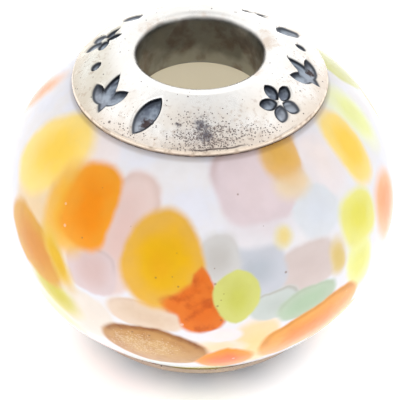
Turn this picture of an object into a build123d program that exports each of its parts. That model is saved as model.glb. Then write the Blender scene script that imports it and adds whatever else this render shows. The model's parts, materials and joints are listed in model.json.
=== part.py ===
"""A large-hole charm bead for a bracelet: a round glass bead with a silver cap let into each end of its hole.

The bead stands on its lower cap. The origin is on the axis of the hole, on the face that the bead stands on,
and +Z runs up the hole. Each cap is a domed flange on a short sleeve that lines the mouth of the hole, with
leaves, sprigs, blossoms and dots sunk into its dome. The glass is bare inside the hole, between the sleeves.
"""

from build123d import *
import math
import os

# Glass bead, in millimetres and degrees
glass_diameter = 14.4
belly_radius = 5.55  # round of the side, in section
belly_angle = 44.0  # how far the round of the side reaches above and below the middle
shoulder_radius = 7.7  # flatter round, from the side to the hole
mouth_chamfer = 0.12  # corner taken off the glass at the mouth of the hole

# Silver caps
bore_diameter = 4.5
sleeve_wall = 0.35
sleeve_reach = 2.2  # from the top of the lip to the end of the sleeve
sleeve_end_round = 0.1
end_share = 0.8  # the most of the sleeve's wall that the round at its end takes up
cap_diameter = 9.2
cap_edge_thickness = 0.25
cap_edge_round = 0.1
edge_share = 0.45  # the most of the cap's edge that one of its two rounds takes up
lip_rise = 0.45  # from the glass at the hole up to the top of the lip
lip_round = 0.34
lip_land = 0.22  # flat ring on the lip that the bead stands on
dome_bulge = 0.07  # how far the dome stands out from a straight cone

# Clearances
sleeve_clearance = 0.05  # between the sleeve and the glass around it
seat_clearance = 0.04  # between the flange and the glass under it

# Sunk ornament on the dome
ornament_depth = 0.22
ornament_margin = 0.28  # plain band at the lip and at the edge of the dome
leaf_width = 0.72
sprig_leaf_width = 0.5
side_leaf_length = 1.0
side_leaf_turn = 50.0  # how far a sprig's two side leaves lean out
side_leaf_foot = 0.3  # how far up the sprig they start
petal_width = 0.46
petal_count = 5
blossom_eye = 0.26  # bare middle of a blossom, across
dot_diameter = 0.4

# Ornament round the cap: kind, place round the cap from the front towards +X, turn on the dome, in degrees
ORNAMENT = [
    ("sprig", -60.0, 24.0),
    ("leaf", -30.0, -14.0),
    ("blossom", 49.0, 0.0),
    ("sprig", 82.0, -20.0),
    ("dot", 104.0, 0.0),
    ("leaf", 121.0, 22.0),
    ("blossom", 149.0, 0.0),
    ("sprig", 180.0, 15.0),
    ("dot", -157.0, 0.0),
    ("leaf", -139.0, -20.0),
    ("blossom", -112.0, 0.0),
    ("dot", -86.0, 0.0),
]

# Worked out from the sizes above, with the middle of the bead at z = 0
glass_radius = glass_diameter / 2
bore_radius = bore_diameter / 2
cap_radius = cap_diameter / 2
sleeve_radius = bore_radius + sleeve_wall
hole_radius = sleeve_radius + sleeve_clearance
belly_centre = glass_radius - belly_radius
shoulder_angle = math.radians(belly_angle)
shoulder_centre_r = belly_centre - (shoulder_radius - belly_radius) * math.cos(shoulder_angle)
shoulder_centre_z = -(shoulder_radius - belly_radius) * math.sin(shoulder_angle)


def glass_height(radius, growth=0.0):
    """Height of the glass shoulder above the middle of the bead at this radius, grown by this much."""
    return shoulder_centre_z + math.sqrt((shoulder_radius + growth) ** 2 - (radius - shoulder_centre_r) ** 2)


lip_height = glass_height(sleeve_radius) + lip_rise
sleeve_end = lip_height - sleeve_reach
edge_top = glass_height(cap_radius, seat_clearance) + cap_edge_thickness
land_start = bore_radius + lip_round
dome_start = land_start + lip_land
dome_run = cap_radius - dome_start
dome_drop = lip_height - edge_top
dome_slant = math.hypot(dome_run, dome_drop)
ornament_band = dome_slant - 2 * ornament_margin
lower_edge_slope = math.asin((cap_radius - shoulder_centre_r) / (shoulder_radius + seat_clearance))
upper_edge_slope = -math.atan2(dome_drop, dome_run)


def turned(section):
    """The solid that a section, drawn with radius along X and height along Y, makes once round the axis."""
    return revolve(Plane.XZ * section, Axis.Z, 360)


def shoulder_arc(inner, outer, growth=0.0):
    """The shoulder of the glass in section, from one radius to another."""
    radii = (inner, (inner + outer) / 2, outer)
    return ThreePointArc(*[(radius, glass_height(radius, growth)) for radius in radii])


def corner_round(centre, radius, start):
    """A quarter circle in section, from this many degrees above level and a quarter turn on."""
    return CenterArc(centre, radius, start, 90)


def make_glass_bead():
    """The glass, with its hole drilled through and the two mouths of the hole chamfered."""
    mouth = (hole_radius + mouth_chamfer, glass_height(hole_radius + mouth_chamfer))
    wall_top = (hole_radius, mouth[1] - mouth_chamfer)
    belly_top = (
        belly_centre + belly_radius * math.cos(shoulder_angle),
        belly_radius * math.sin(shoulder_angle),
    )
    upper_half = [
        Line((hole_radius, 0), wall_top),
        Line(wall_top, mouth),
        shoulder_arc(mouth[0], belly_top[0]),
        CenterArc((belly_centre, 0), belly_radius, 0, belly_angle),
        Line((glass_radius, 0), (hole_radius, 0)),
    ]
    half = turned(Face(Wire(upper_half)))
    return half + mirror(half, Plane.XY)


def rounded_edge(section, side):
    """The cap's section with a corner of its thin edge rounded: the lower one for 0, the upper for -1."""
    slope = (lower_edge_slope, upper_edge_slope)[side]
    largest = edge_share * cap_edge_thickness * math.tan((math.pi / 2 - slope) / 2)
    corner = section.vertices().sort_by(Axis.X)[-2:].sort_by(Axis.Y)[side]
    return fillet(corner, min(cap_edge_round, largest))


def make_plain_cap():
    """The upper cap with no ornament: a domed flange shaped to the glass, and its sleeve."""
    lip_foot = lip_height - lip_round
    end_round = min(sleeve_end_round, end_share * sleeve_wall)
    dome_middle = (
        (dome_start + cap_radius) / 2 + dome_bulge * dome_drop / dome_slant,
        (lip_height + edge_top) / 2 + dome_bulge * dome_run / dome_slant,
    )
    edges = [
        Line((bore_radius, sleeve_end + end_round), (bore_radius, lip_foot)),
        corner_round((land_start, lip_foot), lip_round, 90),
        Line((land_start, lip_height), (dome_start, lip_height)),
        ThreePointArc((dome_start, lip_height), dome_middle, (cap_radius, edge_top)),
        Line((cap_radius, edge_top), (cap_radius, edge_top - cap_edge_thickness)),
        shoulder_arc(sleeve_radius, cap_radius, seat_clearance),
        Line((sleeve_radius, glass_height(sleeve_radius, seat_clearance)), (sleeve_radius, sleeve_end)),
        Line((sleeve_radius, sleeve_end), (bore_radius + end_round, sleeve_end)),
        corner_round((bore_radius + end_round, sleeve_end + end_round), end_round, 180),
    ]
    section = Face(Wire(edges))
    for side in (0, -1):
        section = rounded_edge(section, side)
    return turned(section)


def leaf(length, width):
    """A pointed leaf of two arcs, with its foot at the origin and its tip on +Y."""
    foot, tip, half = (0, 0), (0, length), width / 2
    return Face(
        Wire(
            [
                ThreePointArc(foot, (half, length / 2), tip),
                ThreePointArc(tip, (-half, length / 2), foot),
            ]
        )
    )


def ornament_outlines(kind):
    """The flat outlines of one ornament round its own middle, with +Y up the dome."""
    foot = Pos(0, -ornament_band / 2)
    if kind == "leaf":
        return [foot * leaf(ornament_band, leaf_width)]
    if kind == "sprig":
        side_leaf = leaf(side_leaf_length, sprig_leaf_width)
        branches = [Pos(0, side_leaf_foot) * Rot(0, 0, side * side_leaf_turn) * side_leaf for side in (-1, 1)]
        return [foot * outline for outline in [leaf(ornament_band, sprig_leaf_width)] + branches]
    if kind == "blossom":
        petal = Pos(0, blossom_eye / 2) * leaf((ornament_band - blossom_eye) / 2, petal_width)
        return [Rot(0, 0, 360 / petal_count * number) * petal for number in range(petal_count)]
    return [Face(Wire(Edge.make_circle(dot_diameter / 2)))]


def dome_place(azimuth):
    """The plane that touches the dome halfway up, turned round to here, with its +Y up the dome."""
    lean = Rot(math.degrees(math.atan2(dome_drop, dome_run)), 0, 0)
    return Rot(0, 0, azimuth) * Pos(0, -dome_start, lip_height) * lean * Pos(0, -dome_slant / 2, dome_bulge)


def make_cap():
    """The upper cap, with its ornament sunk into the dome."""
    cutters = []
    for kind, azimuth, turn in ORNAMENT:
        floor = dome_place(azimuth) * Pos(0, 0, -ornament_depth) * Rot(0, 0, turn)
        cutters += [floor * extrude(outline, 2 * ornament_depth) for outline in ornament_outlines(kind)]
    return make_plain_cap() - cutters


def main():
    """Builds the three pieces, stands the bead on its lower cap and writes them."""
    stand = Pos(0, 0, lip_height)
    cap = make_cap()
    pieces = {
        "glass_bead": stand * make_glass_bead(),
        "upper_cap": stand * cap,
        "lower_cap": stand * Rot(180, 0, 0) * cap,
    }
    os.makedirs("parts", exist_ok=True)
    for name, piece in pieces.items():
        piece.label = name
        export_step(piece, f"parts/{name}.step")
        size = piece.bounding_box().size
        print(f"{name}: {piece.volume:.2f} mm3, {size.X:.3f} x {size.Y:.3f} x {size.Z:.3f} mm")
    print(f"height {2 * lip_height:.4f}, bore wall to wall {2 * (lip_height - lip_round):.4f}")


main()
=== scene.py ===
"""A charm bead with a large hole: white glass with fused coloured chips, and a cast silver cap in each end.

Lengths in this script are millimetres and angles are degrees, measured from the middle of the bead. A piece
is raised and brought to metres when it is finished. Azimuth 0 is the front, at -Y, and azimuth 90 is at +X.
"""

import json
import math
import random

import bmesh
import bpy
from mathutils import Matrix, Vector, noise


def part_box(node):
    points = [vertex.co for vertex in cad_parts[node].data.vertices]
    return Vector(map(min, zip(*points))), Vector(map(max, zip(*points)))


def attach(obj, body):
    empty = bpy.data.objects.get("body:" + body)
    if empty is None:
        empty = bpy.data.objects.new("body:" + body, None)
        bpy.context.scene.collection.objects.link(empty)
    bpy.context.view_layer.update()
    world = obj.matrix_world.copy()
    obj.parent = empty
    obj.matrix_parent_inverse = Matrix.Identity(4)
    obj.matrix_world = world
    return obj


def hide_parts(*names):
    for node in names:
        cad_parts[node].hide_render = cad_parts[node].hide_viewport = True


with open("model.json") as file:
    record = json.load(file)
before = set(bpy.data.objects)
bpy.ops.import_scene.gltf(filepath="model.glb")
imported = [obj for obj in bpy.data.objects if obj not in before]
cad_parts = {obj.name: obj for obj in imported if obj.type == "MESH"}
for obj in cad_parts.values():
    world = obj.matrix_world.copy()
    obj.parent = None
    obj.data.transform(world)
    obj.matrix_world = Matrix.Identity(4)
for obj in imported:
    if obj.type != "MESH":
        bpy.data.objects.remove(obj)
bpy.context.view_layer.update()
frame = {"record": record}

MM = 0.001

# The frame's own sizes
glass_low, glass_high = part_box("glass_bead")
cap_low, cap_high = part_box("upper_cap")
glass_radius = glass_high[0] / MM
cap_radius = cap_high[0] / MM
middle = (glass_low[2] + glass_high[2]) / 2 / MM  # of the bead, above the floor
lip_height = cap_high[2] / MM - middle
sleeve_end = cap_low[2] / MM - middle
bore_radius = next(m for m in frame["record"]["mounts"] if m["name"] == "bore")["dims"]["r_mm"]

# Glass
belly_round = 5.55
belly_reach = 44.0
shoulder_round = 7.7
sleeve_wall = 0.35
sleeve_clearance = 0.05
mouth_chamfer = 0.12
wall_rows = 24
shoulder_rows = 32
belly_rows = 72
glass_steps = 256  # round the bead
glass_zones = 8  # stretches round the bead, each with a material that holds only the chips near it
glass_wobble = 0.035  # unevenness of the hand-turned glass
wobble_scale = 0.28
wobble_end = 3.6  # height past which the wobble dies away, so that the caps' seats stay true
wobble_fade = 1.0
wobble_margin = 0.5  # and how far from the mouth it begins

# Cap
seat_gap = 0.04
edge_thickness = 0.25
edge_break = 0.05  # slant at the top of the edge
foot_inset = 0.06  # of the slant at its foot
foot_rise = 0.07
lip_round = 0.34
lip_land = 0.22
dome_bulge = 0.07
end_round = 0.1
cap_steps = 720  # round the cap
dome_rows = 60
seat_rows = 10

# Sunk ornament, as on the solid cap
ornament_depth = 0.22
ornament_margin = 0.28
leaf_width = 0.72
sprig_leaf_width = 0.5
side_leaf_length = 1.0
side_leaf_turn = 50.0
side_leaf_foot = 0.3
petal_width = 0.46
petal_count = 5
blossom_eye = 0.26
dot_diameter = 0.4
wall_width = 0.11  # slope of a recess's upper side, seen from above
worn_wall_width = 0.24  # and of its lower side
worn_depth = 0.6  # share of the depth that is left at its lower side
lee_reach = 0.17  # how far down the dome tarnish and painted shade reach under a recess's upper side
lee_blur = 0.3
dome_unevenness = 0.025  # of the cast dome
broad_unevenness = 0.8  # waves per millimetre
fine_unevenness = 2.6
fine_share = 0.4
lip_fade = 0.5  # stretch beside the lip over which the unevenness begins

# Finish of the glass
cap_shadow_reach = 0.13  # of the painted shadow on the glass, past the upper cap's edge
cap_shadow_strength = 0.6
froth_share = 0.8
froth_strength = 0.22
fleck_share = 0.003
crowded_share = 0.3
fleck_strength = 0.55
bubble_share = 0.04
bubble_strength = 0.3
bubble_shift = (7, 3, 5)  # so that bubbles and flecks lie in different places
glass_roughness = (0.07, 0.14)  # where it is clear and where it is hazy
glass_ripple = 0.05
light_depth = 0.6  # how far light goes into the glass

# Finish of the silver
patch_reach = 1.0  # how far below and above the surface a patch of wear is felt
warm_reach = 0.6  # how far in from its edge the dome is warmer, with a painted reflection of the warm glass
rubbed_reach = 0.8  # how far out from its lip it is rubbed bright
shaded_side = (-0.75, 0.66, 0.0)  # the side on which painted shade darkens the dome
side_shade_reach = (0.8, 2.8)
lip_stain_strength = 0.6
smudge_strength = 0.8
pit_share = 0.008
pitted_share = 0.9
large_pit_share = 0.25
pit_strength = 0.8
crease_azimuth = 8.0  # middle of the crease's painted shade, above the cap's edge
crease_share = 0.08  # of the way up the dome
crease_reach = 1.1
crease_rise = 0.4
crease_wander = 0.16
crease_width = 0.035
rust_strength = 0.9
tarnish_and_shade_strength = 0.92
silver_roughness = (0.2, 0.36)
silver_bump = 0.06

ORNAMENT = [
    # kind, azimuth, turn
    ("sprig", -60.0, 24.0),
    ("leaf", -30.0, -14.0),
    ("blossom", 49.0, 0.0),
    ("sprig", 82.0, -20.0),
    ("dot", 104.0, 0.0),
    ("leaf", 121.0, 22.0),
    ("blossom", 149.0, 0.0),
    ("sprig", 180.0, 15.0),
    ("dot", -157.0, 0.0),
    ("leaf", -139.0, -20.0),
    ("blossom", -112.0, 0.0),
    ("dot", -86.0, 0.0),
]

# Coloured glasses: the middle and the rim of a chip as seen in daylight, from 0 to 255, and how streaky it is
WHITE = (229, 229, 238)
WARM_WHITE = (234, 231, 233)
# cream of the glass inside the hole, painted for the warm light that comes through the glass
HOLE_CREAM = (212, 205, 188)
GLASSES = {
    "gold": ((230, 172, 0), (230, 178, 36), 0.03),
    "honey": ((231, 178, 40), (228, 178, 82), 0.03),
    "orange": ((240, 144, 34), (240, 160, 58), 0.05),
    "amber orange": ((240, 178, 66), (240, 190, 100), 0.05),
    "vermilion": ((222, 114, 50), (224, 122, 56), 0.75),
    "tangerine": ((230, 139, 62), (236, 166, 82), 0.14),
    "amber": ((228, 180, 98), (230, 188, 128), 0.1),
    "buttercup": ((251, 210, 92), (252, 222, 136), 0.0),
    "ochre": ((217, 146, 66), (220, 164, 72), 0.1),
    "mustard": ((228, 182, 52), (230, 192, 90), 0.1),
    "lemon": ((226, 219, 98), (232, 228, 136), 0.0),
    "pale lemon": ((230, 229, 132), (235, 236, 166), 0.0),
    "pear": ((208, 194, 74), (216, 206, 116), 0.0),
    "lime": ((199, 200, 102), (208, 209, 124), 0.05),
    "pale lime": ((236, 240, 164), (240, 243, 205), 0.0),
    "caramel": ((202, 161, 108), (190, 142, 88), 0.35),
    "coral": ((238, 110, 6), (244, 148, 30), 0.1),
    "apricot": ((242, 154, 98), (246, 188, 146), 0.0),
    "pale peach": ((250, 216, 180), (244, 222, 204), 0.0),
    "peach": ((222, 198, 174), (228, 206, 186), 0.1),
    "vanilla": ((246, 211, 152), (242, 214, 172), 0.0),
    "cream": ((234, 222, 210), (232, 222, 212), 0.0),
    "rose": ((224, 194, 187), (228, 206, 200), 0.0),
    "lilac": ((213, 186, 182), (219, 200, 200), 0.0),
    "mauve": ((227, 210, 213), (221, 205, 209), 0.0),
    "pale mauve": ((226, 218, 222), (228, 224, 228), 0.0),
    "periwinkle": ((218, 222, 230), (220, 223, 228), 0.0),
    "blue grey": ((185, 190, 198), (201, 203, 211), 0.0),
    "warm grey": ((196, 192, 188), (208, 206, 204), 0.0),
    "sage": ((176, 197, 170), (186, 201, 180), 0.0),
    "aqua": ((194, 201, 196), (202, 208, 204), 0.0),
    "mint": ((230, 242, 240), (232, 240, 238), 0.0),
    "pink beige": ((210, 195, 191), (213, 199, 195), 0.0),
    "shell": ((240, 228, 225), (236, 228, 230), 0.0),
    "straw": ((236, 214, 148), (231, 220, 184), 0.0),
    "wheat": ((218, 192, 124), (222, 202, 158), 0.0),
    "tan": ((234, 206, 166), (234, 214, 186), 0.0),
}
daylight = 1.04  # how much brighter than its own colour a face of the glass looks in the tent
surface_haze = 0.02  # white that gloss lays over every colour
chip_reach = 2.0  # how far below and above the surface a chip is felt
chip_drift = 0.22  # how far the outlines are led astray
zone_margin = 1.5  # how far past its half size a chip is taken into a zone

CHIPS = [
    # glass, azimuth, height, half width, half length, turn, blur, point, box, taper, line, lie
    ("tan", -58.0, 1.9, 1.8, 1.25, -25, 0.4, 0, 0.2, 0, 0, "under"),
    ("shell", -46.0, 4.4, 1.1, 0.8, 0, 0.4, 0, 0, 0, 0, "under"),
    ("pale lime", -49.0, -2.3, 1.3, 0.8, -30, 0.6, 0, 0, 0, 0, "under"),
    ("cream", -35.5, -1.3, 1.3, 1.2, 0, 0.25, 0, 0.3, 0, 0, "under"),
    ("vanilla", 16.8, -2.1, 0.9, 1.6, 0, 0.35, 0, 0.6, 0, 0, "under"),
    ("peach", -15.5, -0.35, 1.45, 0.62, -8, 0.25, 0, 0.4, 0, 0.1, "under"),
    ("rose", -24.4, 2.55, 1.05, 2.45, -8, 0.2, 0, 0.35, 0, 0.12, "under"),
    ("lilac", -32.4, 1.0, 1.05, 0.95, 0, 0.2, 0, 0.6, 0, 0.15, "under"),
    ("pear", -47.0, -0.9, 1.2, 0.75, -30, 0.7, 0, 0.2, 0, 0, "under"),
    ("buttercup", -64.0, 3.6, 1.35, 2.05, -32, 0.35, 0, 0.3, 0, 0, "over"),
    ("amber orange", -44.5, 2.65, 1.15, 1.7, 0, 0.45, 0, 0.6, 0, 0, "over"),
    ("orange", -40.0, 3.0, 0.85, 1.4, -2, 0.7, 0, 0.5, 0, 0, "over"),
    ("orange", -37.2, 3.05, 0.97, 1.62, -2, 0.28, 0, 0.65, 0, 0, "over"),
    ("ochre", -56.5, 0.55, 1.85, 1.05, -22, 0.28, 0.2, 0.2, 0, 0, "over"),
    ("mustard", -45.5, 0.75, 1.2, 0.45, -50, 1.0, 0.2, 0, 0, 0, "over"),
    ("pink beige", 32.4, 1.15, 1.25, 0.95, 3, 0.3, 0, 0.65, 0, 0, "under"),
    ("blue grey", 16.2, 1.5, 1.1, 1.15, 2, 0.25, 0, 0.7, 0, 0, "under"),
    ("pale mauve", 20.0, 3.05, 1.4, 0.85, 0, 0.4, 0, 0.4, 0, 0, "under"),
    ("warm grey", 5.9, 2.1, 0.68, 0.9, 0, 0.5, 0, 0.5, 0, 0.1, "under"),
    ("honey", -10.8, 1.9, 1.5, 1.92, 0, 0.22, 0, 0.15, -0.15, 0, "over"),
    ("gold", -11.8, 1.75, 0.65, 0.95, 0, 0.9, 0, 0.2, 0, 0, "over"),
    ("vermilion", -4.6, 0.3, 0.75, 0.5, -12, 0.7, 0.3, 0, 0, 0, "over"),
    ("vermilion", 1.3, 0.85, 0.42, 1.05, 6, 0.35, 0.5, 0, 0, 0, "over"),
    ("vermilion", -3.0, 0.65, 0.95, 0.42, 33, 0.8, 0.2, 0, 0, 0, "over"),
    ("vermilion", 0.4, -0.05, 0.85, 0.88, 0, 0.3, 0, 0.4, 0, 0, "over"),
    ("pale peach", 5.0, -1.85, 0.95, 0.45, -5, 0.6, 0, 0, 0, 0, "under"),
    ("shell", 7.0, -1.15, 0.65, 0.4, 0, 0.4, 0, 0, 0, 0, "under"),
    ("mint", -17.0, -3.6, 1.3, 0.45, -5, 0.5, 0, 0, 0, 0, "under"),
    ("caramel", -14.2, -2.15, 2.0, 1.28, -9, 0.16, 0.1, 0.1, 0, 1.0, "over"),
    ("coral", 7.9, -2.9, 1.05, 1.05, 0, 0.3, 0.45, 0, 0, 0, "beside"),
    ("mauve", 22.8, 4.15, 1.68, 1.5, 0, 0.2, 0, 0.7, 0, 0.2, "over"),
    ("periwinkle", 40.0, 2.85, 1.0, 0.95, 0, 0.35, 0, 0.6, 0, 0, "beside"),
    ("tan", 34.5, 3.85, 0.72, 0.6, 0, 0.8, 0, 0, 0, 0, "over"),
    ("amber", 35.2, 4.6, 0.82, 1.0, -8, 0.5, 0, 0.3, 0, 0, "over"),
    ("shell", 51.0, 3.9, 0.95, 1.2, -6, 0.4, 0, 0.3, 0, 0, "under"),
    ("straw", 25.6, 2.45, 0.36, 0.42, -20, 0.8, 0, 0, 0, 0, "over"),
    ("pale lime", 82.0, 4.0, 0.8, 1.6, -6, 0.8, 0, 0.2, 0, 0, "under"),
    ("buttercup", 66.0, 3.75, 0.78, 1.5, -5, 0.4, 0, 0.6, 0, 0, "over"),
    ("apricot", 72.0, 0.95, 1.0, 1.3, -4, 0.6, 0, 0.2, 0, 0, "under"),
    ("pale lemon", 52.5, 0.0, 0.7, 1.2, 3, 0.5, 0, 0.4, 0, 0, "under"),
    ("lemon", 55.2, 1.8, 1.02, 1.0, -4, 0.4, 0, 0.5, 0, 0, "over"),
    ("wheat", 43.3, 0.95, 0.42, 0.75, 0, 0.7, 0, 0.4, 0, 0, "over"),
    ("aqua", 21.8, 0.0, 0.95, 0.62, 10, 0.25, 0, 0.5, 0, 0.3, "over"),
    ("sage", 31.8, -0.35, 1.3, 0.7, 6, 0.24, 0.1, 0.3, 0, 0.1, "over"),
    ("lime", 10.4, 0.6, 0.87, 1.15, 0, 0.16, 0.3, 0, 0, 0, "over"),
    ("tangerine", 36.2, -2.0, 2.2, 1.25, 19, 0.14, 0, 0.7, 0, 0.35, "over"),
    ("apricot", -102.0, 3.4, 0.6, 1.4, -10, 1.0, 0, 0, 0, 0, "beside"),
]

# Rows of chips laid by chance where the photo shows none: height, first and last azimuth
SCATTER_ROWS = [
    (3.9, 112.0, 245.0),
    (2.1, 108.0, 256.0),
    (0.3, 100.0, 262.0),
    (-1.6, 76.0, 284.0),
    (-3.3, 50.0, 308.0),
    (-4.5, 0.0, 345.0),
]
scatter_seed = 11
scatter_across = (0.85, 1.55)  # half widths
scatter_along = (0.95, 1.45)  # half lengths
scatter_shift = 0.25  # up or down from the row
scatter_turn = 45.0
scatter_blur = (0.08, 0.25)
scatter_box = 0.5
scatter_step = (1.8, 2.6)  # from one chip to the next
CHANCE_GLASSES = [
    "orange", "lilac", "honey", "lemon", "periwinkle", "rose", "tangerine", "sage", "buttercup",
    "mauve", "caramel", "peach", "vermilion", "blue grey", "lime", "apricot", "pink beige", "cream",
]

# Dark seeds in the glass: azimuth, height, radius
SEEDS = [
    (4.3, 1.2, 0.055),
    (4.9, 0.3, 0.05),
    (6.7, 0.79, 0.032),
    (5.9, 0.54, 0.035),
    (4.2, 1.77, 0.035),
    (5.9, -0.35, 0.05),
    (-12.6, 1.35, 0.045),
    (13.5, 3.9, 0.04),
    (-37.0, 2.0, 0.04),
]
# Where the glass is full of fine flecks: azimuth, height, half width, half length
FLECKED = [
    (-7.0, 1.8, 0.6, 1.3),
    (-15.0, -1.5, 1.5, 0.5),
    (3.5, 0.2, 0.4, 0.9),
]

# Where the glass is full of froth: azimuth, height, half width, half length
FROTHY = [
    (-17.0, -2.0, 1.5, 0.8),
]

# Pitted patches of the dome: azimuth, share of the way up from its edge, half width, half height, pits
PITTED = [
    (4.0, 0.25, 1.55, 0.7, 1.0),
    (24.0, 0.2, 1.2, 0.5, 0.5),
    (0.0, 0.5, 1.3, 0.6, 0.35),
    (-36.0, 0.15, 1.2, 0.3, 0.15),
]
# Smudges on the dome: azimuth, share of the way up, half width, half height
SMUDGES = [
    (0.8, 0.46, 0.26, 0.28),
    (3.0, 0.28, 0.28, 0.3),
    (-11.5, 0.45, 0.1, 0.09),
]
# Rust brown patches in the recesses: azimuth, share of the way up, half width, half height
RUSTED = [
    (-28.5, 0.36, 0.24, 0.26),
    (-66.0, 0.5, 0.14, 0.2),
    (86.0, 0.35, 0.2, 0.2),
    (148.0, 0.6, 0.2, 0.16),
    (-141.0, 0.35, 0.18, 0.24),
]
# Tan stains on the lip: azimuth, share of the way up, past 1 on the lip itself, half width, half height
LIP_STAINS = [
    (-134.0, 1.24, 0.8, 0.3),
    (104.0, 1.14, 0.7, 0.34),
    (56.0, 1.2, 0.5, 0.24),
    (172.0, 1.26, 0.6, 0.22),
]

# Worked out from the sizes above
sleeve_radius = bore_radius + sleeve_wall
hole_radius = sleeve_radius + sleeve_clearance
belly_centre = glass_radius - belly_round
reach = math.radians(belly_reach)
shoulder_r = belly_centre - (shoulder_round - belly_round) * math.cos(reach)
shoulder_z = -(shoulder_round - belly_round) * math.sin(reach)
belly_top = belly_round * math.sin(reach)


def glass_height(radius, growth=0.0):
    """Height of the glass shoulder at this radius, grown by this much."""
    return shoulder_z + math.sqrt((shoulder_round + growth) ** 2 - (radius - shoulder_r) ** 2)


edge_top = glass_height(cap_radius, seat_gap) + edge_thickness
dome_start = bore_radius + lip_round + lip_land
dome_run = cap_radius - dome_start
dome_drop = lip_height - edge_top
dome_slant = math.hypot(dome_run, dome_drop)
ornament_band = dome_slant - 2 * ornament_margin


def outwards(azimuth):
    """The direction straight out from the axis at this azimuth."""
    turn = math.radians(azimuth)
    return Vector((math.sin(turn), -math.cos(turn), 0))


def azimuth_of(place):
    """The azimuth at which a point lies."""
    return math.degrees(math.atan2(place.x, -place.y))


def glass_surface(azimuth, height):
    """A point on the outside of the glass, with its outward normal, from its azimuth and height."""
    if abs(height) < belly_top:
        lean = math.asin(height / belly_round)
        radius = belly_centre + belly_round * math.cos(lean)
    else:
        lean = math.asin((abs(height) - shoulder_z) / shoulder_round)
        radius = shoulder_r + shoulder_round * math.cos(lean)
        lean = math.copysign(lean, height)
    outward = outwards(azimuth)
    normal = outward * math.cos(lean) + Vector((0, 0, math.sin(lean)))
    return outward * radius + Vector((0, 0, height)), normal


def dome_surface(azimuth, share):
    """A point on the upper dome, with its outward normal, a share of the way from its edge up to its lip."""
    radius = cap_radius + (dome_start - cap_radius) * share
    height = edge_top + (lip_height - edge_top) * share
    outward = outwards(azimuth)
    normal = (outward * dome_drop + Vector((0, 0, dome_run))).normalized()
    return outward * radius + Vector((0, 0, height)), normal


# Turning a section round the axis. A section is drawn in the XZ plane, with radius along X.

def start_section(place):
    """A new mesh that holds the first point of a section."""
    bm = bmesh.new()
    return bm, bm.verts.new((place[0], 0, place[1]))


def run_to(bm, last, place, steps=1):
    """Draws a straight stretch of the section, and gives its last point."""
    start = last.co.copy()
    goal = Vector((place[0], 0, place[1]))
    for step in range(1, steps + 1):
        new = bmesh.ops.extrude_vert_indiv(bm, verts=[last])["verts"][0]
        new.co = start.lerp(goal, step / steps)
        last = new
    return last


def arc_on(bm, last, centre, angle, steps):
    """Draws a round stretch about a centre, counter-clockwise, and gives its last point."""
    made = bmesh.ops.spin(
        bm,
        geom=[last],
        cent=(centre[0], 0, centre[1]),
        axis=(0, -1, 0),
        angle=math.radians(angle),
        steps=steps,
    )
    return next(item for item in made["geom_last"] if isinstance(item, bmesh.types.BMVert))


def turn_section(bm, steps):
    """Closes the section and turns it once round the axis, with its faces outwards."""
    bmesh.ops.remove_doubles(bm, verts=bm.verts, dist=1e-4)
    bmesh.ops.spin(
        bm,
        geom=bm.verts[:] + bm.edges[:],
        cent=(0, 0, 0),
        axis=(0, 0, 1),
        angle=math.tau,
        steps=steps,
        use_merge=True,
    )
    bmesh.ops.remove_doubles(bm, verts=bm.verts, dist=1e-4)
    bmesh.ops.recalc_face_normals(bm, faces=bm.faces)
    bm.normal_update()


def make_piece(bm, name, materials):
    """Raises a mesh off the floor, brings it to metres and gives it an object and its materials."""
    bmesh.ops.translate(bm, verts=bm.verts, vec=(0, 0, middle))
    bmesh.ops.scale(bm, verts=bm.verts, vec=(MM, MM, MM))
    for face in bm.faces:
        face.smooth = True
    mesh = bpy.data.meshes.new(name)
    bm.to_mesh(mesh)
    bm.free()
    for material in materials:
        mesh.materials.append(material)
    piece = bpy.data.objects.new(name, mesh)
    bpy.context.scene.collection.objects.link(piece)
    return piece


def make_glass(materials):
    """The glass bead, turned from its section and then pushed slightly out of true as hand-turned glass is.

    Each zone round it takes its own material.
    """
    mouth = hole_radius + mouth_chamfer
    top = glass_height(mouth)
    wall_top = top - mouth_chamfer
    seat_lean = math.degrees(math.asin((top - shoulder_z) / shoulder_round))
    bm, last = start_section((hole_radius, wall_top))
    last = run_to(bm, last, (hole_radius, -wall_top), wall_rows)
    last = run_to(bm, last, (mouth, -top), 2)
    last = arc_on(bm, last, (shoulder_r, -shoulder_z), seat_lean - belly_reach, shoulder_rows)
    last = arc_on(bm, last, (belly_centre, 0), 2 * belly_reach, belly_rows)
    last = arc_on(bm, last, (shoulder_r, shoulder_z), seat_lean - belly_reach, shoulder_rows)
    run_to(bm, last, (hole_radius, wall_top), 2)
    turn_section(bm, glass_steps)
    for vert in bm.verts:
        low_enough = 1 - min(1, max(0, (abs(vert.co.z) - wobble_end) / wobble_fade))
        if math.hypot(vert.co.x, vert.co.y) > mouth + wobble_margin:
            push = noise.noise(vert.co * wobble_scale) * glass_wobble * low_enough
            vert.co += vert.normal * push
    for face in bm.faces:
        turned_by = azimuth_of(face.calc_center_median()) % 360
        face.material_index = int(turned_by / 360 * glass_zones)
    return make_piece(bm, "glass", materials)


def leaf_distance(x, y, length, width):
    """How far a point lies outside a pointed leaf of two arcs, less than nought inside it."""
    round_radius = (length**2 + width**2) / (4 * width)
    return math.hypot(abs(x) + round_radius - width / 2, y) - round_radius


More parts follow.
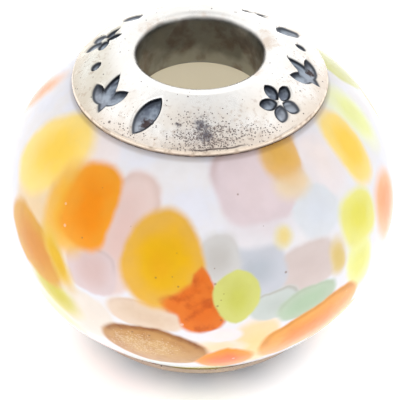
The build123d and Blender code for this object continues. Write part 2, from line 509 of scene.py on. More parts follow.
def ornament_distance(kind, x, y):
    """How far a point of the dome lies outside an ornament, less than nought inside it."""
    if kind == "leaf":
        return leaf_distance(x, y, ornament_band, leaf_width)
    if kind == "dot":
        return math.hypot(x, y) - dot_diameter / 2
    if kind == "sprig":
        nearest = leaf_distance(x, y, ornament_band, sprig_leaf_width)
        lean = math.radians(side_leaf_turn)
        above_foot = y + ornament_band / 2 - side_leaf_foot
        across = abs(x) * math.cos(lean) - above_foot * math.sin(lean)
        along = abs(x) * math.sin(lean) + above_foot * math.cos(lean)
        side = leaf_distance(across, along - side_leaf_length / 2, side_leaf_length, sprig_leaf_width)
        return min(nearest, side)
    length = (ornament_band - blossom_eye) / 2
    nearest = math.inf
    for number in range(petal_count):
        turn = math.tau * number / petal_count
        across = x * math.cos(turn) + y * math.sin(turn)
        along = -x * math.sin(turn) + y * math.cos(turn)
        nearest = min(nearest, leaf_distance(across, along - (blossom_eye + length) / 2, length, petal_width))
    return nearest


def smooth_step(value):
    """Nought to one with soft ends."""
    value = min(1.0, max(0.0, value))
    return value * value * (3 - 2 * value)


def recess_at(place):
    """How deep the ornament is sunk at a point of the dome, the share that wear has left, and the tarnish
    with painted shade under a recess's upper side.
    """
    radius = math.hypot(place.x, place.y)
    azimuth = azimuth_of(place)
    up = ((dome_start + cap_radius) / 2 - radius) * dome_run / dome_slant
    up += (place.z - (lip_height + edge_top) / 2) * dome_drop / dome_slant
    upper = smooth_step(0.5 + up / ornament_band)
    slope = worn_wall_width + (wall_width - worn_wall_width) * upper
    deepest = 0.0
    tarnish_and_shade = 0.0
    for kind, centre, turn in ORNAMENT:
        off = (azimuth - centre + 180) % 360 - 180
        across = math.radians(off) * radius
        if abs(across) > ornament_band:
            continue
        turn = math.radians(turn)
        x = across * math.cos(turn) + up * math.sin(turn)
        y = -across * math.sin(turn) + up * math.cos(turn)
        recess = smooth_step(0.5 - ornament_distance(kind, x, y) / slope)
        if recess > 0:
            from_lee = ornament_distance(kind, x + lee_reach * math.sin(turn), y + lee_reach * math.cos(turn))
            tarnish_and_shade = max(tarnish_and_shade, smooth_step(0.5 + from_lee / lee_blur))
        deepest = max(deepest, recess)
    return deepest, worn_depth + (1 - worn_depth) * upper, tarnish_and_shade


def make_cap():
    """The upper cap with no ornament, turned from its section."""
    lip_foot = lip_height - lip_round
    under_edge = glass_height(cap_radius, seat_gap)
    bm, last = start_section((bore_radius, lip_foot))
    last = run_to(bm, last, (bore_radius, sleeve_end + end_round), 10)
    last = arc_on(bm, last, (bore_radius + end_round, sleeve_end + end_round), 90, 4)
    last = run_to(bm, last, (sleeve_radius, sleeve_end), 2)
    last = run_to(bm, last, (sleeve_radius, glass_height(sleeve_radius, seat_gap)), 4)
    for step in range(1, seat_rows + 1):
        radius = sleeve_radius + (cap_radius - foot_inset - sleeve_radius) * step / seat_rows
        last = run_to(bm, last, (radius, glass_height(radius, seat_gap)))
    last = run_to(bm, last, (cap_radius, under_edge + foot_rise), 3)
    last = run_to(bm, last, (cap_radius, edge_top - edge_break), 3)
    for step in range(1, dome_rows + 1):
        share = step / dome_rows
        radius = cap_radius + (dome_start - cap_radius) * share
        height = edge_top + (lip_height - edge_top) * share
        height += 4 * dome_bulge * share * (1 - share)
        last = run_to(bm, last, (radius, height))
    last = run_to(bm, last, (bore_radius + lip_round, lip_height), 4)
    last = arc_on(bm, last, (bore_radius + lip_round, lip_foot), 90, 10)
    turn_section(bm, cap_steps)
    return bm


def press_ornament(bm):
    """Sinks the ornament into the uneven dome and keeps how deep each point lies as an attribute."""
    depth = bm.verts.layers.float.new("recess")
    # tarnish with painted shade under each recess's upper side
    lee = bm.verts.layers.float.new("lee")
    moves = []
    for vert in bm.verts:
        radius = math.hypot(vert.co.x, vert.co.y)
        if vert.normal.z < 0.3 or vert.co.z < edge_top - 0.02 or radius < dome_start:
            continue
        recess, left, tarnish_and_shade = recess_at(vert.co)
        vert[depth] = recess
        vert[lee] = tarnish_and_shade
        uneven = noise.noise(vert.co * broad_unevenness) + fine_share * noise.noise(vert.co * fine_unevenness)
        off_lip = smooth_step((radius - dome_start) / lip_fade)
        push = dome_unevenness * uneven * off_lip - ornament_depth * recess * left
        moves.append((vert, vert.normal * push))
    for vert, move in moves:
        vert.co += move


# Materials

# Cloudy noises: clouds per millimetre, and how much detail
CLOUDS = {
    "drift": (0.7, 3.0),
    "swirl": (0.8, 4.0),
    "streaks": (2.2, 6.0),
    "haze": (1.6, 5.0),
    "ripple": (0.9, 2.0),
    "mottle": (1.1, 6.0),
    "fine": (6.0, 5.0),
    "ragged": (9.0, 4.0),
    "soft": (3.0, 5.0),
    "worn": (0.9, 4.0),
    "rim stain": (2.6, 4.0),
    "bore shade": (0.8, 3.0),
    "bore brown": (1.2, 4.0),
}
# Specks: places for them per millimetre, and their size beside the gap between two places
SPECKS = {
    "froth": (15.0, 0.75),
    "fleck": (5.0, 0.26),
    "bubble": (2.2, 0.14),
    "fine pit": (19.0, 0.7),
    "large pit": (6.0, 0.32),
}
# Shades, as shares of red, green and blue light
SHADES = {
    # Glass
    "streak": (0.66, 0.42, 0.26),
    "chip line": (0.46, 0.27, 0.16),
    "haze": (0.965, 0.96, 0.955),
    "froth": (0.95, 0.82, 0.62),
    "fleck": (0.2, 0.1, 0.05),
    "bubble": (0.9, 0.86, 0.8),
    # painted shadow on the glass under the upper cap's edge
    "painted shadow under the cap": (0.62, 0.56, 0.52),
    "no glow": (0.0, 0.0, 0.0),
    "painted glow in the hole": (0.26, 0.24, 0.19),
    # Dome
    "silver": (0.95, 0.93, 0.9),
    "warm silver": (0.89, 0.83, 0.76),
    "specked silver": (0.7, 0.61, 0.54),
    # painted reflection of the warm glass at the dome's edge
    "edge": (0.79, 0.66, 0.54),
    "painted_side_shade": (0.82, 0.82, 0.77),
    "rubbed": (0.99, 0.98, 0.96),
    "lip stain": (0.66, 0.49, 0.36),
    "grime_and_shadow": (0.46, 0.37, 0.33),
    "smudge": (0.07, 0.07, 0.11),
    "pit": (0.11, 0.08, 0.075),
    # painted shade of the crease
    "crease": (0.12, 0.09, 0.08),
    # Rim
    # painted shade at the foot of the rim
    "rim foot": (0.11, 0.075, 0.055),
    "rim": (0.78, 0.66, 0.54),
    "rim stain": (0.36, 0.27, 0.2),
    # painted shade over the lower cap
    "lower cap": (0.53, 0.48, 0.44),
    # Recesses
    "floor": (0.36, 0.42, 0.5),
    "dark floor": (0.15, 0.175, 0.23),
    # painted light at the outer ends of the recesses
    "outer floor": (0.6, 0.62, 0.67),
    "rust": (0.06, 0.032, 0.026),
    # painted shade on the recess walls
    "wall": (0.022, 0.026, 0.034),
    "outer wall": (0.12, 0.13, 0.15),
    # tarnish with painted shade under the recesses' upper sides
    "tarnish_and_shade": (0.018, 0.021, 0.028),
    # Inside the sleeve
    # painted shade and light down the bore, over its dark oxide
    "low bore": (0.34, 0.345, 0.33),
    "high bore": (0.165, 0.165, 0.155),
    "bore brown": (0.68, 0.56, 0.53),
}


def as_seen(red, green, blue):
    """The colour that the glass needs to look like these values, from 0 to 255, in the tent."""
    light = [(value / 255) ** 2.2 for value in (red, green, blue)]
    return [max(0.0, (value - surface_haze) / daylight) for value in light] + [1.0]


def new_material(name):
    """A material with a bare Principled shader, its node tree and the shader."""
    material = bpy.data.materials.new(name)
    material.use_nodes = True
    tree = material.node_tree
    return material, tree, tree.nodes["Principled BSDF"]


def new_group(name, inputs, outputs):
    """A node group with sockets, which are named under their kinds, and its two end nodes."""
    group = bpy.data.node_groups.new(name, "ShaderNodeTree")
    for way, sockets in (("INPUT", inputs), ("OUTPUT", outputs)):
        for kind, titles in sockets.items():
            for title in titles:
                group.interface.new_socket(title, in_out=way, socket_type="NodeSocket" + kind)
    return group, group.nodes.new("NodeGroupInput").outputs, group.nodes.new("NodeGroupOutput").inputs


def feed(tree, socket, value):
    """Gives a socket a fixed value or a shade from the chart, or links it to another node's output."""
    if isinstance(value, bpy.types.NodeSocket):
        tree.links.new(value, socket)
    elif isinstance(value, str):
        socket.default_value = (*SHADES[value], 1.0)
    else:
        socket.default_value = value


def fill(tree, node, values):
    """Feeds a node's inputs by name or number."""
    for title, value in values.items():
        feed(tree, node.inputs[title], value)


def add(tree, kind, values=None, **settings):
    """A node of this kind with its settings made and its inputs fed."""
    node = tree.nodes.new("ShaderNode" + kind)
    for key, value in settings.items():
        setattr(node, key, value)
    fill(tree, node, values or {})
    return node


def maths(tree, operation, first, second=0.0, third=0.0):
    """One sum on numbers."""
    return add(tree, "Math", {0: first, 1: second, 2: third}, operation=operation).outputs[0]


def times(tree, first, second):
    """Two numbers multiplied."""
    return maths(tree, "MULTIPLY", first, second)


def times_plus(tree, first, second, third):
    """Two numbers multiplied, and a third added."""
    return maths(tree, "MULTIPLY_ADD", first, second, third)


def minus(tree, first, second):
    """One number less another."""
    return maths(tree, "SUBTRACT", first, second)


def most(tree, first, second):
    """The greater of two numbers."""
    return maths(tree, "MAXIMUM", first, second)


def mix(tree, amount, first, second):
    """Two numbers mixed by an amount."""
    return add(tree, "Mix", {"Factor": amount, 2: first, 3: second}).outputs[0]


def vector_maths(tree, operation, first, second=(0, 0, 0), output="Vector"):
    """One sum on vectors, which gives a vector, or a number at its other output."""
    return add(tree, "VectorMath", {0: first, 1: second}, operation=operation).outputs[output]


def soft_range(tree, value, low, high, at_low=0.0, at_high=1.0):
    """A value eased from one level to another as a number goes from low to high."""
    values = {"Value": value, "From Min": low, "From Max": high, "To Min": at_low, "To Max": at_high}
    return add(tree, "MapRange", values, interpolation_type="SMOOTHSTEP").outputs[0]


def cloud(tree, place, name, output="Fac"):
    """A soft cloudy noise from the chart."""
    per_mm, detail = CLOUDS[name]
    return add(tree, "TexNoise", {"Vector": place, "Scale": per_mm, "Detail": detail}).outputs[output]


def blend_colours(tree, amount, first, second, way="MIX"):
    """Two colours blended by an amount."""
    node = add(tree, "Mix", data_type="RGBA", blend_type=way)
    fill(tree, node, {"Factor": amount, 6: first, 7: second})
    return node.outputs[2]


def bead_place(tree):
    """Where a point lies in millimetres from the middle of the bead."""
    place = add(tree, "TexCoord").outputs["Object"]
    values = {"Vector": place, "Location": (0, 0, -middle), "Scale": (1 / MM, 1 / MM, 1 / MM)}
    return add(tree, "Mapping", values).outputs["Vector"]


def off_axis(tree, place):
    """How far a point lies from the axis of the hole."""
    flat = vector_maths(tree, "MULTIPLY", place, (1, 1, 0))
    return vector_maths(tree, "LENGTH", flat, output="Value")


def height_of(tree, place):
    """How far a point lies above the middle of the bead."""
    return add(tree, "SeparateXYZ", {0: place}).outputs["Z"]


def patch_lean(normal, turn):
    """The turn that lays a flat pattern on a patch of surface, its second axis up and its third outwards."""
    east = Vector((0, 0, 1)).cross(normal).normalized()
    north = normal.cross(east)
    upright = Matrix((east, north, normal)).transposed()
    return (upright @ Matrix.Rotation(math.radians(turn), 3, "Z")).to_euler()


def off_patch(tree, place, surface, across, along):
    """How far a point lies from the middle of a patch of surface: 1 at each of its half sizes."""
    spot, normal = surface
    half_sizes = (across, along, patch_reach)
    values = {"Vector": place, "Location": spot, "Rotation": patch_lean(normal, 0), "Scale": half_sizes}
    patch = add(tree, "Mapping", values, vector_type="TEXTURE").outputs["Vector"]
    return vector_maths(tree, "LENGTH", patch, output="Value")


def specks_group():
    """Specks scattered in space, of which only a share show."""
    group, given, result = new_group(
        "specks",
        {"Vector": ["Place"], "Float": ["Per mm", "Size", "Share"]},
        {"Float": ["Mask"]},
    )
    cells = add(group, "TexVoronoi", {"Vector": given["Place"], "Scale": given["Per mm"]}).outputs
    chance = add(group, "SeparateXYZ", {0: cells["Color"]}).outputs
    size = times(group, given["Size"], maths(group, "ADD", chance[1], 0.4))
    near = soft_range(group, cells["Distance"], times(group, size, 0.5), size, 1.0, 0.0)
    shown = maths(group, "LESS_THAN", chance[0], given["Share"])
    feed(group, result["Mask"], times(group, near, shown))
    return group


def specks(tree, place, name, share):
    """The mask of one scattering of specks from the chart."""
    per_mm, size = SPECKS[name]
    values = {"Place": place, "Per mm": per_mm, "Size": size, "Share": share}
    return add(tree, "Group", values, node_tree=speck_group).outputs["Mask"]


def chip_group():
    """A chip of coloured glass pressed in beside, over or under the chips before it.

    Far is 0 at a chip's middle and 1 at its outline. Where two chips meet side by side, the nearer middle
    wins. The place is handed on from chip to chip, so that the shader works them out in turn and has room
    for them all.
    """
    colours = ["Below", "Middle", "Rim"]
    places = ["Place", "Spot", "Lean", "Half sizes"]
    looks = ["Swirl", "Streaks", "Grain", "Blur"]
    outline = ["Point", "Box", "Taper", "Line", "Over", "Under"]
    group, given, result = new_group(
        "glass chip",
        {"Color": colours, "Vector": places, "Float": ["Far below"] + looks + outline},
        {"Color": ["Colour"], "Float": ["Far"], "Vector": ["Place"]},
    )
    values = {
        "Vector": given["Place"],
        "Location": given["Spot"],
        "Rotation": given["Lean"],
        "Scale": given["Half sizes"],
    }
    patch = add(group, "Mapping", values, vector_type="TEXTURE").outputs["Vector"]
    apart = add(group, "SeparateXYZ", {0: patch}).outputs
    narrowing = times_plus(group, apart[1], given["Taper"], 1.0)
    across = maths(group, "DIVIDE", apart[0], narrowing)
    across_squared = times(group, across, across)
    along_squared = times(group, apart[1], apart[1])
    depth_squared = times(group, apart[2], apart[2])
    level = maths(group, "ADD", across_squared, along_squared)
    round_far = maths(group, "SQRT", level)
    leaf_far = maths(group, "ADD", maths(group, "ABSOLUTE", across), along_squared)
    corner = times(group, across_squared, along_squared)
    box_far = minus(group, times(group, level, level), times(group, corner, 2.0))
    box_far = maths(group, "POWER", most(group, box_far, 0.0), 0.25)
    far = mix(group, given["Point"], round_far, leaf_far)
    far = mix(group, given["Box"], far, box_far)
    far = maths(group, "ADD", far, depth_squared)

    line_in = soft_range(group, far, 0.74, 0.92)
    line_out = soft_range(group, far, 0.93, 1.04, 1.0, 0.0)
    line = times(group, line_in, line_out)
    line = times(group, line, soft_range(group, apart[1], -0.1, 0.5))
    ragged = times_plus(group, given["Streaks"], given["Grain"], minus(group, 1.0, given["Grain"]))
    line = times(group, line, times(group, ragged, given["Line"]))

    to_middle = times_plus(group, given["Swirl"], 0.9, minus(group, far, 0.45))
    to_middle = soft_range(group, to_middle, 0.2, 0.95, 1.0, 0.0)
    tone = blend_colours(group, to_middle, given["Rim"], given["Middle"])
    streaks = times(group, given["Streaks"], given["Grain"])
    tone = blend_colours(group, streaks, tone, "streak", "MULTIPLY")
    tone = blend_colours(group, line, tone, "chip line", "MULTIPLY")

    limit = maths(group, "MINIMUM", maths(group, "ADD", given["Far below"], given["Over"]), 1.0)
    won = maths(group, "DIVIDE", minus(group, limit, far), given["Blur"])
    cover = soft_range(group, won, -0.5, 0.5)
    feed(group, result["Colour"], blend_colours(group, cover, given["Below"], tone))
    own = maths(group, "ADD", far, given["Under"])
    far_here = mix(group, cover, given["Far below"], own)
    feed(group, result["Far"], far_here)
    nothing = maths(group, "MINIMUM", far_here, 0.0)
    feed(group, result["Place"], vector_maths(group, "ADD", given["Place"], nothing))
    return group


def scattered_chips():
    """Chips in uneven rows for the back and the underside, in the form of the chart."""
    chance = random.Random(scatter_seed)
    chips = []
    for row_height, first, last in SCATTER_ROWS:
        azimuth = first
        while azimuth < last:
            across = chance.uniform(*scatter_across)
            along = chance.uniform(*scatter_along)
            height = row_height + chance.uniform(-scatter_shift, scatter_shift)
            spot = glass_surface(azimuth, height)[0]
            name = chance.choice(CHANCE_GLASSES)
            turn = chance.uniform(-scatter_turn, scatter_turn)
            blur = chance.uniform(*scatter_blur)
            box = chance.uniform(0, scatter_box)
            chips.append((name, azimuth, height, across, along, turn, blur, 0, box, 0, 0, "beside"))
            azimuth += math.degrees(chance.uniform(*scatter_step) / math.hypot(spot.x, spot.y))
    return chips


def near_zone(zone, spot, reach):
    """Whether a patch with this reach round a spot comes into a zone of the glass."""
    zone_width = 360 / glass_zones
    patch_width = math.degrees(zone_margin * reach / math.hypot(spot.x, spot.y))
    off = abs((azimuth_of(spot) - (zone + 0.5) * zone_width + 180) % 360 - 180)
    return off < zone_width / 2 + patch_width


def chips_near(zone):
    """The chips that come into a zone of the glass, in the order in which they were laid."""
    near = []
    for chip in CHIPS + scattered_chips():
        azimuth, height, across, along = chip[1:5]
        if near_zone(zone, glass_surface(azimuth, height)[0], max(across, along)):
            near.append(chip)
    return near


def patches_near(tree, zone, place, patches):
    """The mask of those patches of surface that come into a zone of the glass."""
    mask = 0.0
    for azimuth, height, across, along in patches:
        surface = glass_surface(azimuth, height)
        if near_zone(zone, surface[0], across):
            far = off_patch(tree, place, surface, across, along)
            mask = most(tree, soft_range(tree, far, 0.4, 1.1, 1.0, 0.0), mask)
    return mask


def lay_chips(tree, zone, drifted, swirl, colour):
    """The colour of the glass once a zone's chips are laid into it, one after another."""
    streaks = soft_range(tree, cloud(tree, drifted, "streaks"), 0.42, 0.72)
    far = 1.0
    handed_on = drifted
    for name, azimuth, height, across, along, turn, blur, point, box, taper, line, lie in chips_near(zone):
        middle_colour, rim_colour, grain = GLASSES[name]
        spot, normal = glass_surface(azimuth, height)
        values = {
            "Below": colour,
            "Far below": far,
            "Place": handed_on,
            "Spot": spot,
            "Lean": patch_lean(normal, turn),
            "Half sizes": (across, along, chip_reach),
            "Swirl": swirl,
            "Streaks": streaks,
            "Grain": grain,
            "Middle": as_seen(*middle_colour),
            "Rim": as_seen(*rim_colour),
            "Blur": blur,
            "Point": point,
            "Box": box,
            "Taper": taper,
            "Line": line,
            "Over": float(lie == "over"),
            "Under": float(lie == "under"),
        }
        chip = add(tree, "Group", values, node_tree=glass_chip).outputs
        colour, far, handed_on = chip["Colour"], chip["Far"], chip["Place"]
    return colour


def speckle(tree, zone, place, colour):
    """The colour of the glass with the froth, flecks, seeds and bubbles in it."""
    frothy = patches_near(tree, zone, place, FROTHY)
    crowded = patches_near(tree, zone, place, FLECKED)
    if frothy != 0.0:
        froth = specks(tree, place, "froth", times(tree, frothy, froth_share))
        colour = blend_colours(tree, times(tree, froth, froth_strength), colour, "froth")
    flecks = specks(tree, place, "fleck", times_plus(tree, crowded, crowded_share, fleck_share))
    for azimuth, height, radius in SEEDS:
        spot = glass_surface(azimuth, height)[0]
        if near_zone(zone, spot, radius):
            far = vector_maths(tree, "DISTANCE", place, spot, "Value")
            flecks = most(tree, soft_range(tree, far, 0.5 * radius, 1.3 * radius, 1.0, 0.0), flecks)
    colour = blend_colours(tree, times(tree, flecks, fleck_strength), colour, "fleck")
    bubbles = specks(tree, vector_maths(tree, "ADD", place, bubble_shift), "bubble", bubble_share)
    return blend_colours(tree, times(tree, bubbles, bubble_strength), colour, "bubble")


def glass_material(zone):
    """White glass with one zone's chips pressed into it, and inside the hole a cream colour and a glow
    painted for the light that comes through the glass.
    """
    material, tree, shader = new_material(f"white glass with chips {zone + 1}")
    place = bead_place(tree)
    drift = vector_maths(tree, "SUBTRACT", cloud(tree, place, "drift", "Color"), (0.5, 0.5, 0.5))
    drift = vector_maths(tree, "MULTIPLY", drift, (2 * chip_drift, 2 * chip_drift, 2 * chip_drift))
    drifted = vector_maths(tree, "ADD", place, drift)
    swirl = cloud(tree, drifted, "swirl")
    warmth = soft_range(tree, swirl, 0.35, 0.65)
    white = blend_colours(tree, warmth, as_seen(*WHITE), as_seen(*WARM_WHITE))
    colour = lay_chips(tree, zone, drifted, swirl, white)
    haze = soft_range(tree, cloud(tree, place, "haze"), 0.3, 0.7)
    colour = blend_colours(tree, haze, colour, "haze", "MULTIPLY")
    colour = speckle(tree, zone, place, colour)

    from_axis = off_axis(tree, place)
    # painted shadow on the glass just past the upper cap's edge, where the cap meets the glass
    grime_and_shadow = soft_range(tree, from_axis, cap_radius + 0.01, cap_radius + cap_shadow_reach, cap_shadow_strength, 0.0)
    grime_and_shadow = times(tree, grime_and_shadow, soft_range(tree, height_of(tree, place), 0.0, 1.0))
    colour = blend_colours(tree, grime_and_shadow, colour, "painted shadow under the cap", "MULTIPLY")
    # inside the hole: cream colour and glow, painted light that comes through the glass
    in_hole = soft_range(tree, from_axis, hole_radius + 0.02, hole_radius + 0.1, 1.0, 0.0)
    colour = blend_colours(tree, in_hole, colour, as_seen(*HOLE_CREAM))
    ripple = times_plus(tree, haze, 0.12, cloud(tree, place, "ripple"))
    bump = add(tree, "Bump", {"Height": ripple, "Strength": 0.4, "Distance": glass_ripple * MM})
    fill(tree, shader, {
        "Base Color": colour,
        "Emission Color": blend_colours(tree, in_hole, "no glow", "painted glow in the hole"),
        "Emission Strength": 1.0,
        "Roughness": soft_range(tree, haze, 0.0, 1.0, *glass_roughness),
        "Normal": bump.outputs["Normal"],
        "IOR": 1.5,
        "Specular IOR Level": 0.15,
        "Subsurface Weight": 0.25,
        "Subsurface Radius": (1.0, 0.8, 0.7),
        "Subsurface Scale": light_depth * MM,
        "Sheen Weight": 0.35,
        "Sheen Roughness": 0.35,
    })
    return material


def ragged_patches(tree, place, patches, clouds, raggedness, whole, bare):
    """The mask of a chart of patches of the dome, with outlines made ragged by clouds.

    A patch is whole where its ragged distance is under the first number, and bare past the second.
    """
    mask = 0.0
    for azimuth, share, across, along in patches:
        far = off_patch(tree, place, dome_surface(azimuth, share), across, along)
        ragged = times_plus(tree, clouds, raggedness, minus(tree, far, raggedness / 2))
        mask = most(tree, soft_range(tree, ragged, whole, bare, 1.0, 0.0), mask)
    return mask


def rubbed_silver(tree, place, from_axis, mottle, fine):
    """The dome's silver, warmer towards its edge with a painted reflection of the warm glass, darker on one
    side with painted shade, and rubbed bright round its lip.
    """
    bright = blend_colours(tree, soft_range(tree, mottle, 0.36, 0.66), "silver", "warm silver")
    bright = blend_colours(tree, soft_range(tree, fine, 0.52, 0.76), bright, "specked silver")
    # painted reflection of the warm glass beside it, warming the dome towards its edge
    to_edge = soft_range(tree, from_axis, cap_radius - warm_reach, cap_radius - 0.03, 0.0, 0.6)
    bright = blend_colours(tree, to_edge, bright, "edge")
    # painted shade: the dome darker on one side
    towards_shaded_side = vector_maths(tree, "DOT_PRODUCT", place, shaded_side, "Value")
    painted_side_shade = soft_range(tree, times_plus(tree, mottle, 1.2, towards_shaded_side), *side_shade_reach)
    bright = blend_colours(tree, painted_side_shade, bright, "painted_side_shade", "MULTIPLY")
    rubbed = soft_range(tree, from_axis, dome_start, dome_start + rubbed_reach, 0.8, 0.0)
    return blend_colours(tree, rubbed, bright, "rubbed")


def pit_silver(tree, place, fine, edges, bright):
    """The silver with its grime, smudges and pits, and the mask of the pits."""
    pitted = 0.0
    for azimuth, share, across, along, dense in PITTED:
        far = off_patch(tree, place, dome_surface(azimuth, share), across, along)
        pitted = most(tree, soft_range(tree, far, 0.3, 1.2, dense, 0.0), pitted)
    smudged = ragged_patches(tree, place, SMUDGES, edges, 2.4, 0.1, 1.4)
    # real grime in the pitted patches of the dome
    grime_and_shadow = times(tree, pitted, soft_range(tree, fine, 0.35, 0.6, 0.1, 0.45))
    bright = blend_colours(tree, grime_and_shadow, bright, "grime_and_shadow")
    bright = blend_colours(tree, times(tree, smudged, smudge_strength), bright, "smudge")
    strewn = times_plus(tree, most(tree, pitted, smudged), pitted_share, pit_share)
    pits = specks(tree, place, "fine pit", strewn)
    large_pits = specks(tree, place, "large pit", times(tree, strewn, large_pit_share))
    pits = most(tree, pits, large_pits)
    return blend_colours(tree, times(tree, pits, pit_strength), bright, "pit"), pits


def crease_silver(tree, place, from_axis, mottle, bright):
    """The silver with a broken dark line of painted shade, for a crease that runs along the dome's edge,
    strongest at the front.
    """
    far = off_patch(tree, place, dome_surface(crease_azimuth, crease_share), crease_reach, crease_rise)
    creased = soft_range(tree, far, 0.6, 1.1, 0.85, 0.0)
    worn = soft_range(tree, cloud(tree, place, "worn"), 0.5, 0.64, 0.0, 0.3)
    creased = most(tree, creased, worn)
    # the crease is not in the mesh; its shade is painted on as a broken dark line
    off_crease = minus(tree, times_plus(tree, mottle, crease_wander, from_axis), cap_radius + 0.01)
    crease = soft_range(tree, maths(tree, "ABSOLUTE", off_crease), 0.01, crease_width, 1.0, 0.0)
    return blend_colours(tree, times(tree, crease, creased), bright, "crease")


def rim_silver(tree, place, from_axis, height, bright):
    """The silver with its stained rim, with painted shade at its foot, and painted shade over the lower cap.
    """
    on_rim = soft_range(tree, from_axis, cap_radius - 0.06, cap_radius - 0.02)
    # painted shade at the rim's foot, over the gap to the glass
    up_rim = soft_range(tree, height, edge_top - 0.15, edge_top - 0.03)
    rim_tone = blend_colours(tree, up_rim, "rim foot", "rim")
    stained = soft_range(tree, cloud(tree, place, "rim stain"), 0.48, 0.66, 0.0, 0.75)
    rim_tone = blend_colours(tree, stained, rim_tone, "rim stain")
    # painted shade over the lower cap, near the floor
    below = soft_range(tree, height_of(tree, place), -4.0, -3.0, 1.0, 0.0)
    on_rim = times(tree, on_rim, times_plus(tree, below, -0.75, 0.92))
    bright = blend_colours(tree, on_rim, bright, rim_tone)
    return blend_colours(tree, below, bright, "lower cap", "MULTIPLY")


def recess_silver(tree, place, from_axis, clouds, edges, recess, lee):
    """The dark silver of the recesses: blue-grey floors with rust, tarnish and painted shade, painted light
    towards the dome's edge, and walls darkened near-black with painted shade.
    """
    floor_tone = blend_colours(tree, soft_range(tree, clouds, 0.38, 0.64), "floor", "dark floor")
    # painted light: floors and walls paler towards the dome's edge
    outward = soft_range(tree, from_axis, dome_start + 0.6, cap_radius - 0.2)
    floor_tone = blend_colours(tree, times(tree, outward, 0.5), floor_tone, "outer floor")
    rust = ragged_patches(tree, place, RUSTED, edges, 2.0, 0.5, 1.2)
    floor_tone = blend_colours(tree, times(tree, rust, rust_strength), floor_tone, "rust")
    # painted shade: the walls near-black
    wall_tone = blend_colours(tree, outward, "wall", "outer wall")
    # tarnish and painted shade under the recesses' upper sides
    floor_tone = blend_colours(tree, times(tree, lee, tarnish_and_shade_strength), floor_tone, "tarnish_and_shade")
    return blend_colours(tree, soft_range(tree, recess, 0.6, 0.98), wall_tone, floor_tone)


def bore_silver(tree, place, height):
    """The silver inside the sleeve: dark with oxide and painted shade, darkest near the lip, with painted
    light in a wavy pale band towards the sleeve's end, and brown clouds.
    """
    # painted shade and light down the bore: darker near the lip, paler towards the sleeve's end
    clouded = times_plus(tree, cloud(tree, place, "bore shade"), 3.4, height)
    upward = soft_range(tree, clouded, sleeve_end + 1.7, sleeve_end + 3.0)
    bore_tone = blend_colours(tree, upward, "low bore", "high bore")
    brown = soft_range(tree, cloud(tree, place, "bore brown"), 0.46, 0.64, 0.0, 0.9)
    return blend_colours(tree, brown, bore_tone, "bore brown", "MULTIPLY")


def silver_material():
    """Cast silver: bright where it is rubbed, pitted at the front, and dark in its recesses and its hole."""
    material, tree, shader = new_material("tumbled silver")
    place = bead_place(tree)
    recess = add(tree, "Attribute", attribute_name="recess").outputs["Fac"]
    lee = add(tree, "Attribute", attribute_name="lee").outputs["Fac"]
    from_axis = off_axis(tree, place)
    height = maths(tree, "ABSOLUTE", height_of(tree, place))
    mottle = cloud(tree, place, "mottle")
    fine = cloud(tree, place, "fine")
    edges = cloud(tree, place, "ragged")
    clouds = cloud(tree, place, "soft")

    bright = rubbed_silver(tree, place, from_axis, mottle, fine)
    stained = times(tree, ragged_patches(tree, place, LIP_STAINS, clouds, 2.4, 0.1, 1.3), lip_stain_strength)
    bright = blend_colours(tree, stained, bright, "lip stain")
    bright, pits = pit_silver(tree, place, fine, edges, bright)
    bright = crease_silver(tree, place, from_axis, mottle, bright)
    bright = rim_silver(tree, place, from_axis, height, bright)
    sunk = recess_silver(tree, place, from_axis, clouds, edges, recess, lee)
    colour = blend_colours(tree, soft_range(tree, recess, 0.1, 0.45), bright, sunk)
    creep = times_plus(tree, mottle, 0.12, from_axis)
    in_bore = soft_range(tree, creep, bore_radius + 0.06, bore_radius + 0.18, 1.0, 0.0)
    colour = blend_colours(tree, in_bore, colour, bore_silver(tree, place, height))

    roughness = soft_range(tree, mottle, 0.3, 0.7, *silver_roughness)
    roughness = maths(tree, "ADD", roughness, times(tree, most(tree, recess, in_bore), 0.15))
    raised = times_plus(tree, mottle, 0.5, times(tree, fine, 0.25))
    raised = minus(tree, raised, times(tree, pits, 0.5))
    bump = add(tree, "Bump", {"Height": raised, "Strength": 0.5, "Distance": silver_bump * MM})
    fill(tree, shader, {
        "Base Color": colour,
        "Metallic": 1.0,
        "Roughness": roughness,
        "Normal": bump.outputs["Normal"],
    })
    return material


# Pieces

speck_group = specks_group()
glass_chip = chip_group()
glass = make_glass([glass_material(zone) for zone in range(glass_zones)])
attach(glass, "root")
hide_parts("glass_bead")

silver = silver_material()
upper = make_cap()
press_ornament(upper)
lower = upper.copy()
bmesh.ops.rotate(lower, verts=lower.verts, cent=(0, 0, 0), matrix=Matrix.Rotation(math.pi, 3, "X"))
caps = [(upper, "upper_silver_cap", "upper_cap"), (lower, "lower_silver_cap", "lower_cap")]
for cap_mesh, name, node in caps:
    cap = make_piece(cap_mesh, name, [silver])
    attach(cap, "root")
    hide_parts(node)


# Floor, light and camera

floor_size = 2000.0
floor_glow = 0.55  # glow of the floor where nothing stands close over it; it fades into a painted shadow under the bead
floor_shadow_reach = 4.0
tent_light = 1.1  # brightness of the tent
dim_light = 0.8  # and of its dim patch, high above the front of the bead
dim_elevation = 84.0
dim_reach = (10.0, 36.0)  # where the patch begins and stops brightening, from its middle
camera_elevation = 37.5
camera_distance = 102.86
camera_lens = 250.5
camera_shift = -0.03


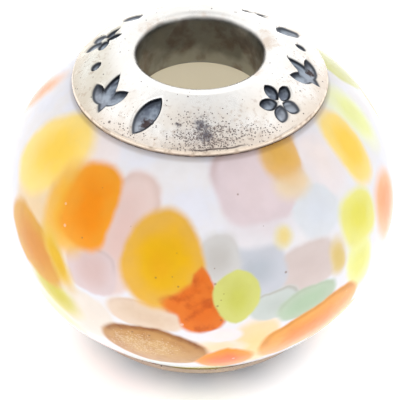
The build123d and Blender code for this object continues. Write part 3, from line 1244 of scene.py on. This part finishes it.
def from_front(elevation):
    """The direction of something that stands straight in front of the bead, this far up."""
    rise = math.radians(elevation)
    return Vector((0, -math.cos(rise), math.sin(rise)))


def make_floor():
    """A plain pale floor that glows a little, its glow fading into a painted shadow where something stands
    close over it.
    """
    bm = bmesh.new()
    bmesh.ops.create_grid(bm, x_segments=1, y_segments=1, size=floor_size * MM)
    mesh = bpy.data.meshes.new("floor")
    bm.to_mesh(mesh)
    bm.free()
    floor = bpy.data.objects.new("floor", mesh)
    bpy.context.scene.collection.objects.link(floor)
    material, tree, shader = new_material("pale floor")
    # ambient occlusion cuts the floor's glow, which paints a contact shadow under the bead
    open_air = add(tree, "AmbientOcclusion", {"Distance": floor_shadow_reach * MM}, samples=16).outputs["AO"]
    fill(tree, shader, {
        "Base Color": (0.88, 0.88, 0.9, 1),
        "Roughness": 0.7,
        "Emission Color": (1, 1, 1, 1),
        "Emission Strength": soft_range(tree, open_air, 0.12, 0.5, 0.0, floor_glow),
    })
    mesh.materials.append(material)
    return floor


def make_tent():
    """An even white light all round, with one slightly dimmer patch."""
    world = bpy.data.worlds.new("light tent")
    world.use_nodes = True
    tree = world.node_tree
    towards = add(tree, "TexCoord").outputs["Generated"]
    facing = vector_maths(tree, "DOT_PRODUCT", towards, from_front(dim_elevation), "Value")
    inside, outside = (math.cos(math.radians(angle)) for angle in dim_reach)
    strength = soft_range(tree, facing, outside, inside, tent_light, dim_light)
    fill(tree, tree.nodes["Background"], {"Color": (1, 1, 1, 1), "Strength": strength})
    return world


def make_camera():
    """A camera that looks down at the middle of the bead from the front."""
    data = bpy.data.cameras.new("camera")
    data.lens = camera_lens
    data.sensor_width = 36
    data.shift_y = camera_shift
    data.clip_start = 0.001
    data.clip_end = 10
    camera = bpy.data.objects.new("camera", data)
    bpy.context.scene.collection.objects.link(camera)
    camera.location = (from_front(camera_elevation) * camera_distance + Vector((0, 0, middle))) * MM
    camera.rotation_euler = (math.pi / 2 - math.radians(camera_elevation), 0, 0)
    return camera


floor = make_floor()
scene = bpy.context.scene
scene.world = make_tent()
scene.view_settings.view_transform = "Standard"
scene.camera = make_camera()
